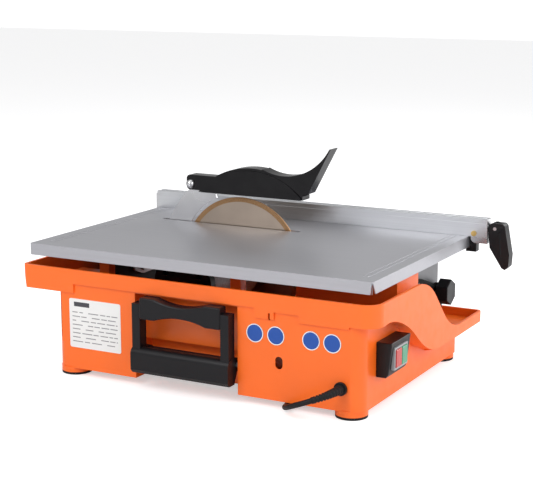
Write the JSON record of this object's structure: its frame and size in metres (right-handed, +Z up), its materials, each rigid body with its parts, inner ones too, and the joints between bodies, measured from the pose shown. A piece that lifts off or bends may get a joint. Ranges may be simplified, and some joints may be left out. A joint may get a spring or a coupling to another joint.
{
  "type": "tile cutter",
  "caption": "Bench wet tile cutter: fixed diamond blade with riving knife and swinging guard, tilting steel table, sliding fence with cam lever, water tray, motor, folding handle.",
  "frame": {"origin": "bottom centre of the whole machine's bounding box, on the floor, free cord left out", "axes": "+X towards the operator's end, along the table; +Y from the front with the handle to the rear tray; +Z up"},
  "size_m": [0.603, 0.5511, 0.31],
  "materials": {
    "housing": "satin",
    "foot_rubber": "matte",
    "black_plastic": "satin",
    "handle_plastic": "satin",
    "guard_plastic": "satin",
    "grey_plastic": "satin",
    "green_button": "gloss",
    "red_button": "gloss",
    "label_white": "satin",
    "sticker_blue": "satin",
    "table_steel": "satin",
    "bracket_steel": "satin",
    "quadrant_black": "satin",
    "bright_steel": "brushed",
    "blade_steel": "brushed",
    "diamond_rim": "matte",
    "fence_aluminium": "satin",
    "screw_brass": "satin",
    "motor_alu": "matte",
    "stator_steel": "matte",
    "capacitor_shell": "satin",
    "cord_rubber": "matte"
  },
  "bodies": {
    "base": {"housing_tray": "housing", "rubber_feet": "foot_rubber", "table_rests": "foot_rubber", "quadrant_right": "quadrant_black", "quadrant_left": "quadrant_black", "quadrant_screws": "bright_steel", "drain_plug": "foot_rubber", "rating_label": "label_white", "round_stickers": "sticker_blue", "switch_box": "black_plastic", "switch_bezel": "grey_plastic", "motor_case": "motor_alu", "motor_end_cover": "black_plastic", "stator": "stator_steel", "bearings": "bright_steel", "motor_bracket": "bright_steel", "motor_screws": "bright_steel", "capacitor": "capacitor_shell", "riving_knife": "bright_steel", "knife_screws": "bright_steel", "handle_pins": "bright_steel", "cord_collar": "black_plastic", "cord_boot": "cord_rubber", "power_cord": "cord_rubber", "cord_coil": "cord_rubber", "cord_tail": "cord_rubber", "cord_tie": "black_plastic", "plug_body": "cord_rubber", "plug_pins": "bright_steel"},
    "start_button": {"start_button": "green_button"},
    "stop_button": {"stop_button": "red_button"},
    "blade": {"motor_fan": "black_plastic", "rotor": "stator_steel", "motor_shaft": "bright_steel", "inner_flange": "bright_steel", "blade_core": "blade_steel", "blade_rim": "diamond_rim", "outer_flange": "bright_steel", "arbor_nut": "bright_steel"},
    "guard": {"guard_shell": "guard_plastic", "guard_bolt": "bright_steel"},
    "table": {"table_top": "table_steel", "bracket_right": "bracket_steel", "bracket_left": "bracket_steel", "bracket_rivets": "bright_steel"},
    "knob_right": {"knob_right": "black_plastic"},
    "knob_left": {"knob_left": "black_plastic"},
    "fence": {"fence_profile": "fence_aluminium", "fence_end_plate": "bright_steel", "fence_jaw": "black_plastic", "fence_screws": "screw_brass"},
    "clamp_rod": {"clamp_rod": "bright_steel", "clamp_hook": "bright_steel", "lever_pin": "bright_steel"},
    "cam_lever": {"cam_lever": "black_plastic"},
    "handle": {"handle_frame": "handle_plastic", "handle_grip": "handle_plastic"}
  },
  "joints": [
    {"name": "table_tilt", "type": "hinge", "parent": "base", "child": "table", "pos_m": [-0.0265, 0.0755, 0.183], "axis": [-1, 0, 0], "range_deg": [0, 45]},
    {"name": "knob_right_turn", "type": "hinge", "parent": "table", "child": "knob_right", "pos_m": [0.2225, 0.10309, 0.11111], "axis": [1, 0, 0], "range_deg": [0, 270]},
    {"name": "knob_left_turn", "type": "hinge", "parent": "table", "child": "knob_left", "pos_m": [-0.2755, 0.10309, 0.11111], "axis": [-1, 0, 0], "range_deg": [0, 270]},
    {"name": "fence_slide", "type": "slide", "parent": "table", "child": "fence", "axis": [0, 1, 0], "range_m": [-0.07, 0.016]},
    {"name": "clamp_slide", "type": "slide", "parent": "fence", "child": "clamp_rod", "axis": [1, 0, 0], "range_m": [-0.0016, 0]},
    {"name": "lever_turn", "type": "hinge", "parent": "clamp_rod", "child": "cam_lever", "pos_m": [0.2785, 0.17, 0.197], "axis": [0, 1, 0], "range_deg": [-90, 0]},
    {"name": "blade_spin", "type": "hinge", "parent": "base", "child": "blade", "pos_m": [-0.0905, 0.0755, 0.127], "axis": [0, 1, 0], "continuous": true},
    {"name": "guard_hinge", "type": "hinge", "parent": "base", "child": "guard", "pos_m": [-0.1745, 0.0755, 0.243], "axis": [0, 1, 0], "range_deg": [-60, 10]},
    {"name": "handle_hinge", "type": "hinge", "parent": "base", "child": "handle", "pos_m": [-0.0335, -0.179, 0.05], "axis": [1, 0, 0], "range_deg": [0, 90]},
    {"name": "start_press", "type": "slide", "parent": "base", "child": "start_button", "axis": [-1, 0, 0], "range_m": [0, 0.002], "stiffness_N_per_m": 400, "springref_m": -0.002},
    {"name": "stop_press", "type": "slide", "parent": "base", "child": "stop_button", "axis": [-1, 0, 0], "range_m": [0, 0.002], "stiffness_N_per_m": 400, "springref_m": -0.002}
  ],
  "couplings": [
    {"joint": "clamp_slide", "follows": "lever_turn", "m_per_rad": 0.000955}
  ]
}
